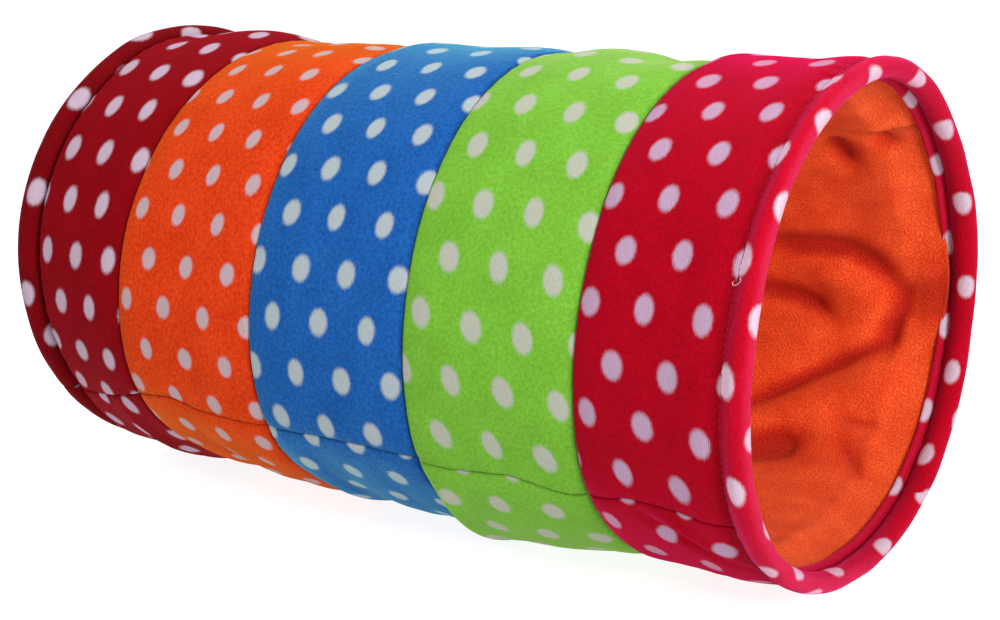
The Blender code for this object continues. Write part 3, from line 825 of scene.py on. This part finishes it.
def hem_piece(name, band, side):
    """The turned-over hem: one strip round the hoop, its facing inside the mouth."""
    outer, inner = roll_profile(side)
    length = np.concatenate([[0], np.cumsum(np.linalg.norm(np.diff(outer, axis=0), axis=1))])
    n = len(outer)
    near = side > 0
    line = STITCH if near else X_HEM
    grooves = (length[2], length[36]) if near else (1.0 * MM, 43 * MM)
    x_cloth = line + length - length[2] if near else X_HEM - 9.5 * MM + length
    past = (length - length[np.argmax(outer[:, 1])]) / MM + 7.0
    t, cut = strip((-134 - 38 * length / length[-1]) / 145.5 if near else np.full(n, seam_at(-X_HEM - 0.001)))
    nip = sum(np.exp(-((length - g) / (5 * MM)) ** 2) for g in grooves)
    ripple = waves(0 * t, t, 41 if near else 42, 50, 92, 0.05, 14)
    slow = waves(0 * t, t, 43 if near else 44, 9, 26, 0.05, 10)
    shrink = (0.10 * ripple * nip[:, None] + 0.16 * slow) * MM
    fold = (tucked(cut, 1.6 * MM, 0.9 * MM) + 0.25 * MM * np.exp(-(cut / (4 * MM)) ** 2)) * (0.3 if near else 1.0)
    sewn = np.zeros(n)
    if near:
        sewn[[0, 1, 2, 3, 4, 5, 35, 36, 37, 38, 39]] = 1, 1, 0.9, 0.7, 0.5, 0.25, 0.3, 0.8, 1, 0.8, 0.3
    outer3, inner3 = [], []
    for prof, out, sink in ((outer, outer3, 1.0), (inner, inner3, 0.6)):
        size = np.linalg.norm(prof, axis=1)[:, None]
        k = 1 - (shrink + fold * sink) / np.maximum(size, 4 * MM)
        px, pr = prof[:, :1] * k, prof[:, 1:] * k
        if near:
            roll = smooth((px + 4.5 * MM) / (4.5 * MM)) * fat(t)
            px = np.where(px > -5.6 * MM, -5.6 * MM + (px + 5.6 * MM) * (1 - slim(t)), px)
            pr = pr + 3.2 * MM * np.exp(-((t + 0.10) / 0.20) ** 2) * smooth((past - 35) / 3)[:, None]
            px, pr = px * (1 + 0.09 * roll) + 0.7 * MM * roll, pr * (1 + 0.12 * roll) + pinch(t) * sewn[:, None]
            full = merged(t) * smooth((past - 22.5) / 4)[:, None] * smooth((43 - past) / 3)[:, None]
            pr = pr * (1 - full) + (-5.9 * MM if sink == 1.0 else -4.1 * MM) * full
        x = X_ROLL + px
        where = np.minimum(x, X_HEM)
        r = R_ROLL + pr + extra(side * where, t) * (0.25 + 0.75 * off_floor(t)) + (mouth(t) if near else 0)
        out.append(placed(side * x, r, t))
    grid = hem_dots(past[:, None], t) if near else dots(band, side * x_cloth[:, None], t)
    if near:
        bare = smooth((past[:, None] - 26) / 6) * smooth((t * 145.5 - 632) / 10) * smooth((758 - t * 145.5) / 10)
        grid = grid[0] * (1 - bare) + 4.5 * bare, grid[1]
    if near:
        flank = 4.6 * MM
        inside = np.where(length < grooves[1], 5.2, 2.0) * MM
        # painted shade in the groove beside the roll and in the groove before the facing; below zero, a painted
        # highlight on the facing's crest and on the roll's crest
        painted_shade_and_highlight = (0.75 * np.exp(-(length / flank) ** 2)[:, None] * front(t)
                 + 0.95 * np.exp(-((length - grooves[1]) / inside) ** 2)[:, None] * (1 - merged(t))
                 - 0.35 * np.exp(-((past - 41) / 3.0) ** 2)[:, None] * (1 - merged(t))
                 - 0.50 * (smooth((past - 9) / 7) * smooth((26 - past) / 5))[:, None] * smooth((-np.cos(t) + 0.3) / 0.6)
                 - 0.30 * np.exp(-((past - 6) / 4.0) ** 2)[:, None] * smooth((np.cos(t) + 0.3) / 0.6))
    else:
        # painted shade in the far hem's two grooves
        painted_shade_and_highlight = sum(np.exp(-((length - g) / (2.6 * MM)) ** 2) for g in grooves)[:, None] * 0.8 + 0 * t
    maps = {"cloth": pair(side * x_cloth[:, None], t * 0.1455), "dots": pair(*grid), "painted_shade_and_highlight": pair(painted_shade_and_highlight, 0.0)}
    return dressed(shell(name, outer3[0], inner3[0], maps, flip=side < 0), ROLL_LOOKS_PAINTED_LIGHT[band])


crimson = band_piece("cover_crimson", "crimson", 0.15, STITCH - 0.1 * MM)
green = band_piece("cover_green", "green", 0.05, 0.15)
blue = band_piece("cover_blue", "blue", -0.05, 0.05)
orange = band_piece("cover_orange", "orange", -0.15, -0.05)
dark_red = band_piece("cover_dark_red", "dark_red", -X_HEM + 0.2 * MM, -0.15)
hem_near = hem_piece("hem_crimson", "crimson", 1)
hem_far = hem_piece("hem_dark_red", "dark_red", -1)


# ------------------------------------------------------------------ inside layers

def inside_rows(end, steps):
    """Places from -end to end, closer together near both mouths."""
    return np.interp(np.linspace(0, 1, steps), [0, 0.27, 0.60, 1], [-end, -0.6 * end, 0.5 * end, end])


LINING_SEAM = np.array([(-228, 0.62), (0, 0.60), (100, 0.76), (150, 0.815), (181, 0.832), (198, 0.822), (212, 0.788),
                        (222, 0.752), (231, 0.722)])

# Creases of the lining: points (x mm, t), depth mm, width mm on its upper side and on its lower side.
LINING_CREASES = [
    ([(112, 0.00), (129, 0.026), (159, 0.026), (176, 0.016), (190, -0.030), (201, -0.095), (207, -0.15)], 5.0, 7.5, 6.5),
    ([(105, -0.21), (122, -0.214), (143, -0.223), (157, -0.257), (170, -0.327)], 4.2, 6.0, 5.5),
    ([(228, -0.125), (221, -0.188), (209, -0.257), (205, -0.336), (207, -0.46)], 3.4, 8.0, 7.0),
    ([(112, -0.86), (128, -0.785), (146, -0.694), (163, -0.598), (181, -0.506), (193, -0.454), (205, -0.388)],
     5.0, 6.5, 7.0),
    ([(132, -1.09), (145, -1.035), (156, -0.985), (166, -0.94)], 6.4, 9.0, 8.0),
    ([(176, -0.750), (192, -0.790), (213, -0.803)], 2.5, 6.5, 6.0),
    ([(187, -0.864), (204, -1.0), (220, -1.13)], 2.1, 6.0, 6.0),
    ([(178, 0.70), (184, 0.61), (188, 0.51)], 4.0, 8.0, 8.0),
    ([(208, 0.73), (213, 0.69), (217, 0.62)], 3.2, 6.0, 6.0),
    ([(228, -0.20), (219, -0.235), (212, -0.27)], 4.5, 10.0, 12.0),
    ([(215, 1.12), (219, 0.97)], 0.9, 6.0, 6.0),
    ([(60, 0.35), (95, 0.20), (118, 0.16)], 3.0, 8.0, 7.0),
    ([(20, -0.55), (60, -0.40), (96, -0.42)], 3.0, 8.0, 7.0),
    ([(-30, 0.9), (10, 0.7), (50, 0.8)], 2.6, 8.0, 7.0),
    ([(-205, 2.3), (-170, 2.5), (-140, 2.45)], 3.4, 8.0, 6.0),
    ([(-212, 3.0), (-180, 2.9), (-150, 3.1), (-120, 3.0)], 3.6, 8.0, 6.0),
    ([(-200, 1.2), (-170, 1.35), (-145, 1.3)], 3.0, 8.0, 7.0),
    ([(-205, -0.3), (-175, -0.2), (-150, -0.35)], 3.2, 8.0, 7.0),
    ([(-190, -2.5), (-160, -2.35), (-125, -2.4)], 3.2, 8.0, 7.0),
    ([(205, 2.6), (175, 2.75), (140, 2.7)], 3.2, 8.0, 7.0),
    ([(210, -2.6), (180, -2.45), (150, -2.5)], 3.2, 8.0, 7.0),
    ([(200, 1.9), (170, 1.75), (135, 1.85)], 3.0, 8.0, 7.0),
    ([(195, -1.75), (160, -1.9), (130, -1.8)], 2.2, 8.0, 7.0),
]
LINING_SWELLS = [
    ((176, -0.16), (22, 9), -22, 3.2), ((205, 0.25), (16, 26), 0, 1.2), ((150, -0.42), (26, 12), 12, 2.2),
    ((175, -0.72), (30, 9), 14, 1.5), ((200, -0.62), (14, 14), 0, 1.4), ((185, 1.0), (26, 16), 0, 1.0),
    ((170, -1.35), (30, 18), 0, 1.4), ((140, 0.30), (18, 16), 0, -1.6),
]


def lining_in(x, t):
    """How far the slack lining stands in from its plain place."""
    base = 6.3 + 1.7 * waves(x, t, 51, 3, 9, 0.10) + 0.5 * waves(x, t, 52, 9, 22, 0.05)
    out = np.maximum(base, 0.25)
    for at, size, turn, high in LINING_SWELLS:
        out = out + 1.8 * swell(x, t, at, size, turn, high) / MM
    out = out + 2.4
    px, ps = x / MM, wrapped(t) * 138.0
    for path, deep, above, under in LINING_CREASES:
        near = np.full(np.shape(px), 1e9)
        side = np.zeros(np.shape(px))
        total = sum(math.dist((a[0], a[1] * 138), (b[0], b[1] * 138)) for a, b in zip(path[:-1], path[1:]))
        done = 0.0
        along = np.zeros(np.shape(px))
        for a, b in zip(path[:-1], path[1:]):
            ax, as_, bx, bs = a[0], a[1] * 138.0, b[0], b[1] * 138.0
            ux, us = bx - ax, bs - as_
            size = math.hypot(ux, us)
            dx = px - ax
            ds = (ps - as_ + math.pi * 138) % (TAU * 138) - math.pi * 138
            k = np.clip((dx * ux + ds * us) / size ** 2, 0, 1)
            ex, es = dx - k * ux, ds - k * us
            d = np.hypot(ex, es)
            better = d < near
            near = np.where(better, d, near)
            side = np.where(better, es, side)
            along = np.where(better, (done + k * size) / total, along)
            done += size
        wide = np.where(side > 0, above, under) * 1.45
        fade = np.clip(1.15 * np.sin(math.pi * (0.10 + 0.80 * along)), 0, 1)
        out = out - 2.3 * deep * fade * (0.40 * np.exp(-near / (0.45 * wide)) + 0.60 * np.exp(-(near / wide) ** 2))
    return np.maximum(out, 0.0) * MM


def lining_piece():
    x = np.concatenate([[-0.2285, -0.2268], inside_rows(0.2250, 124), [0.2265, 0.2280, 0.2295, 0.2310, 0.2325]])
    m = 380
    t = (np.arange(m) / m * TAU - math.pi)[None] + 0 * x[:, None]
    xx = x[:, None] + 0 * t
    near_end = smooth((np.where(xx > 0, 0.2310, 0.2262) - np.abs(xx)) / 0.0080)
    loose = smooth((np.where(xx > 0, 0.2260, 0.2240) - np.abs(xx)) / 0.017)
    slack = lining_in(xx, t)
    over = np.exp(-((t + 0.10) / 0.15) ** 2)
    depth = 4.6 * MM + 2.4 * MM * near_end + slack * loose + 3.8 * MM * over * smooth((xx - 0.212) / 0.012)
    # painted shade: the fold map is high in the lining's creases and at a dark patch by the facing, painted shadow; it
    # is below zero on swells and near the mouth, where the lining gets painted highlight
    fold = np.clip(1 - slack / (6.8 * MM), -0.7, 1.0) * loose - 0.45 * (1 - loose)
    fold = np.maximum(fold, 0.70 * np.exp(-((t + 0.17) / 0.15) ** 2) * smooth((xx - 0.212) / 0.016))
    line = np.interp(xx / MM, LINING_SEAM[:, 0], LINING_SEAM[:, 1])
    up = wrapped(t - line) * 138.0
    lap = np.clip(1 / (1 + np.exp(-up / 0.8)), 0, 1) * np.exp(-np.clip(up, 0, None) / 13.0)
    depth = depth + 3.0 * MM * lap * near_end
    out = xx + 3.8 * MM * over * smooth((xx - 0.214) / 0.016)
    inner = inside_layer(out, t, depth)
    outer = inside_layer(out, t, depth - 1.6 * MM - 0.4 * MM * lap)
    around = np.concatenate([t, t[:, :1] + TAU], 1)
    past = (around - np.concatenate([line, line[:, :1]], 1)) * 138.0
    maps = {"cloth": pair(np.concatenate([xx, xx[:, :1]], 1), around * 0.138),
            "fold": pair(np.concatenate([fold, fold[:, :1]], 1), past)}
    return dressed(shell("lining_tube", outer, inner, maps, wrap=True), LINING_LOOK)


def film_piece():
    x = inside_rows(0.2200, 90)
    m = 360
    t = (np.arange(m) / m * TAU - math.pi)[None] + 0 * x[:, None]
    xx = x[:, None] + 0 * t
    crumple = np.abs(waves(xx, t, 61, 12, 40, 0.020, 9)) + 0.7 * np.abs(waves(xx, t, 62, 25, 70, 0.012, 9))
    depth = 2.95 * MM + 0.16 * MM * np.clip(crumple, 0, 2)
    outer, inner = inside_layer(xx, t, depth), inside_layer(xx, t, depth + 0.12 * MM)
    around = np.concatenate([t, t[:, :1] + TAU], 1)
    maps = {"cloth": pair(np.concatenate([xx, xx[:, :1]], 1), around * 0.142)}
    return dressed(shell("film_tube", outer, inner, maps, wrap=True), FILM_LOOK)


def wadding_piece():
    x = inside_rows(0.2195, 90)
    m = 360
    t = (np.arange(m) / m * TAU - math.pi)[None] + 0 * x[:, None]
    xx = x[:, None] + 0 * t
    thin = smooth((0.2195 - np.abs(xx)) / 0.006)
    lumps = waves(xx, t, 71, 20, 60, 0.02, 12)
    outer = inside_layer(xx, t, 3.50 * MM + 0.10 * MM * lumps + 0.5 * MM * (1 - thin))
    inner = inside_layer(xx, t, 4.2 * MM + (0.9 * MM + 0.12 * MM * waves(xx, t, 72, 20, 60, 0.02, 12)) * thin)
    around = np.concatenate([t, t[:, :1] + TAU], 1)
    maps = {"cloth": pair(np.concatenate([xx, xx[:, :1]], 1), around * 0.141)}
    return dressed(shell("wadding_tube", outer, inner, maps, wrap=True), WADDING_LOOK)


def hem_wadding_piece(name, side):
    """A rope of wadding round the hoop, with the wire's way left open in its middle."""
    m, n = 420, 22
    t = (np.arange(m) / m * TAU - math.pi)[None]
    phi = (np.arange(n) / n * TAU)[:, None]
    lumps = waves(6.0 * phi / TAU * 0.05, t, 81 if side > 0 else 82, 20, 60, 0.05, 12)
    near = side > 0
    lift = extra(side * X_HEM, t) * (0.25 + 0.75 * off_floor(t)) + (mouth(t) if near else 0)
    away = np.abs(wrapped(t - math.radians(225))) * R_ROLL
    hole = 1.75 * MM + 1.05 * MM * (1 - smooth((away - 0.009) / 0.004))
    wide, tall, middle = (4.85 * MM, 3.65 * MM, 1.4 * MM) if near else (6.25 * MM, 4.75 * MM, 0.0)
    along = middle + (wide - 0.12 * MM * lumps) * np.cos(phi)
    along = -5.6 * MM + (along + 5.6 * MM) * (1 - slim(t)) if near else along
    rings = [placed(side * (X_ROLL + along),
                    R_ROLL + (tall - 0.12 * MM * lumps) * np.sin(phi) + lift, t),
             placed(side * (X_ROLL + hole * np.cos(phi)), R_ROLL + hole * np.sin(phi), t)]
    points = np.concatenate([r.reshape(-1, 3) for r in rings])
    i, j = (g.ravel() for g in np.meshgrid(np.arange(n), np.arange(m), indexing="ij"))
    a, b = i * m + j, (i + 1) % n * m + j
    c, d = (i + 1) % n * m + (j + 1) % m, i * m + (j + 1) % m
    one, two = np.stack([a, b, c, d], 1), np.stack([a, d, c, b], 1) + n * m
    faces = np.concatenate([one, two])
    if side < 0:
        faces = faces[:, ::-1]
    mesh = bpy.data.meshes.new(name)
    mesh.from_pydata(points, [], faces)
    mesh.polygons.foreach_set("use_smooth", np.ones(len(faces), bool))
    mesh.update()
    return dressed(link(bpy.data.objects.new(name, mesh)), WADDING_LOOK)


lining = lining_piece()
film = film_piece()
wadding = wadding_piece()
rope_near = hem_wadding_piece("hem_rope_near", 1)
rope_far = hem_wadding_piece("hem_rope_far", -1)


# ------------------------------------------------------------------ threads

def stitches(name, side, material):
    """The hem's lockstitch: short threads in the groove outside, and between roll and facing inside."""
    rng = np.random.default_rng(5 if side > 0 else 6)
    paths = []
    count = 264
    near = side > 0
    lines = ((-5.66, 2.52, 1), (-5.32, -1.75, -1)) if near else ((-8.75, -1.35, 1), (-8.75, -3.55, -1))
    bow = 0.35 * MM
    for x0, r0, inward in lines:
        for k in range(count):
            mid = (k + 0.5 + rng.uniform(-0.05, 0.05)) * TAU / count
            half = 0.40 * TAU / count
            u = np.linspace(-1, 1, 6)
            t = mid + half * u
            x = X_ROLL + (x0 + rng.uniform(-0.12, 0.12)) * MM + 0 * u
            r = R_ROLL + r0 * MM + inward * (bow * (1 - u * u) - 0.5 * MM * np.abs(u) ** 5) + (
                extra(side * X_HEM, t) * (0.25 + 0.75 * off_floor(t)) + (mouth(t) + pinch(t) if near else 0))
            paths.append(placed(side * x, r, t))
    return dressed(tubes(name, paths, (0.17 if near else 0.22) * MM), material)


def thread_end(name, t0, material):
    """A loose end of sewing thread lying beside the near hem's groove in a small loop."""
    turn = np.radians(np.linspace(-60, 235, 26))
    across = 0.5 + 2.1 * np.cos(turn) + 0.6 * np.sin(turn)
    down = 1.0 * np.sin(turn) - 1.3 * np.cos(turn)
    t = t0 + down * MM / R_ROLL
    r = R_ROLL + pinch(t) + mouth(t) + extra(X_HEM, t) + (3.10 + 0.24 * np.abs(np.minimum(across, 0)) + 0.55 * np.maximum(across, 0)) * MM
    return dressed(tubes(name, [placed(STITCH + across * MM, r, t)], 0.10 * MM), material)


stitch_near = stitches("hem_stitches_near", 1, THREAD_RED)
stitch_far = stitches("hem_stitches_far", -1, THREAD_DARK)
loop_near = thread_end("thread_end_near", 2.67, THREAD_PALE)


# ------------------------------------------------------------------ what rides on what

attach(crimson, "near_end")
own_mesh(crimson)
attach(green, "green_band")
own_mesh(green)
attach(blue, "blue_band")
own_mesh(blue)
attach(orange, "orange_band")
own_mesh(orange)
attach(dark_red, "far_end")
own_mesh(dark_red)
for obj in (hem_near, rope_near, stitch_near, loop_near):
    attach(obj, "near_end")
for obj in (hem_far, rope_far, stitch_far):
    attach(obj, "far_end")

for obj in (lining, film, wadding):
    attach(obj, "near_end")
    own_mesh(obj)

for obj, node, slot in (
        (crimson, "panel_crimson", "crimson_fleece"), (hem_near, "panel_crimson", "crimson_fleece"),
        (green, "panel_green", "green_fleece"), (blue, "panel_blue", "blue_fleece"),
        (orange, "panel_orange", "orange_fleece"), (dark_red, "panel_dark_red", "dark_red_fleece"),
        (hem_far, "panel_dark_red", "dark_red_fleece"), (lining, "lining", "lining_fleece"),
        (film, "crackle_film", "crackle_film"), (wadding, "body_wadding", "wadding"),
        (rope_near, "hem_wadding_near", "wadding"), (rope_far, "hem_wadding_far", "wadding")):
    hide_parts(node)

for node in ("hoop_near", "hoop_far"):
    dressed(nodes[node], WIRE_LOOK)
for node in ("ferrule_near", "ferrule_far"):
    dressed(nodes[node], SLEEVE_LOOK)


# ------------------------------------------------------------------ floor, light

def plain(name, colour, rough):
    g = Look(name)
    place = g.new("ShaderNodeTexCoord").outputs["Object"]
    speck = g.noise(g.scaled(place, (3, 3, 3)), 1.0, 2.0, 0.5, flat=False)
    return g.finish(Base_Color=g.shade(colour, g.ramp(speck, 0.3, 0.7, 0.99, 1.0, False)), Roughness=rough,
                    Specular_IOR_Level=0.0, Emission_Color=(1.0, 1.0, 1.0, 1.0), Emission_Strength=0.88)


floor_mesh = bpy.data.meshes.new("floor")
floor_mesh.from_pydata([(-14, -14, -0.0004), (14, -14, -0.0004), (14, 14, -0.0004), (-14, 14, -0.0004)], [],
                       [(0, 1, 2, 3)])
floor = dressed(link(bpy.data.objects.new("floor", floor_mesh)), plain("floor", (0.30, 0.30, 0.30), 0.9))

world = bpy.data.worlds.new("studio")
world.use_nodes = True
world.node_tree.nodes["Background"].inputs[0].default_value = (1.0, 1.0, 1.0, 1.0)
world.node_tree.nodes["Background"].inputs[1].default_value = 0.42
bpy.context.scene.world = world
bpy.context.scene.view_settings.view_transform = "Standard"


def lamp(name, at, aim, size, power):
    data = bpy.data.lights.new(name, "AREA")
    data.shape = "DISK"
    data.size = size
    data.energy = power
    obj = link(bpy.data.objects.new(name, data))
    obj.location = at
    obj.rotation_euler = (Vector(aim) - Vector(at)).to_track_quat("-Z", "Y").to_euler()
    return obj


lamp("key", (-0.05, -1.35, 1.35), (0.03, 0.0, 0.15), 0.5, 11.8)
lamp("mouth", (1.42, -0.46, 0.76), (0.2, 0.05, 0.12), 0.55, 20.0)
lamp("over", (0.30, -0.15, 1.70), (0.05, 0.0, 0.2), 0.8, 10.9)
lamp("back", (-0.2, 0.85, 1.30), (0.0, 0.0, 0.25), 0.7, 10.0)
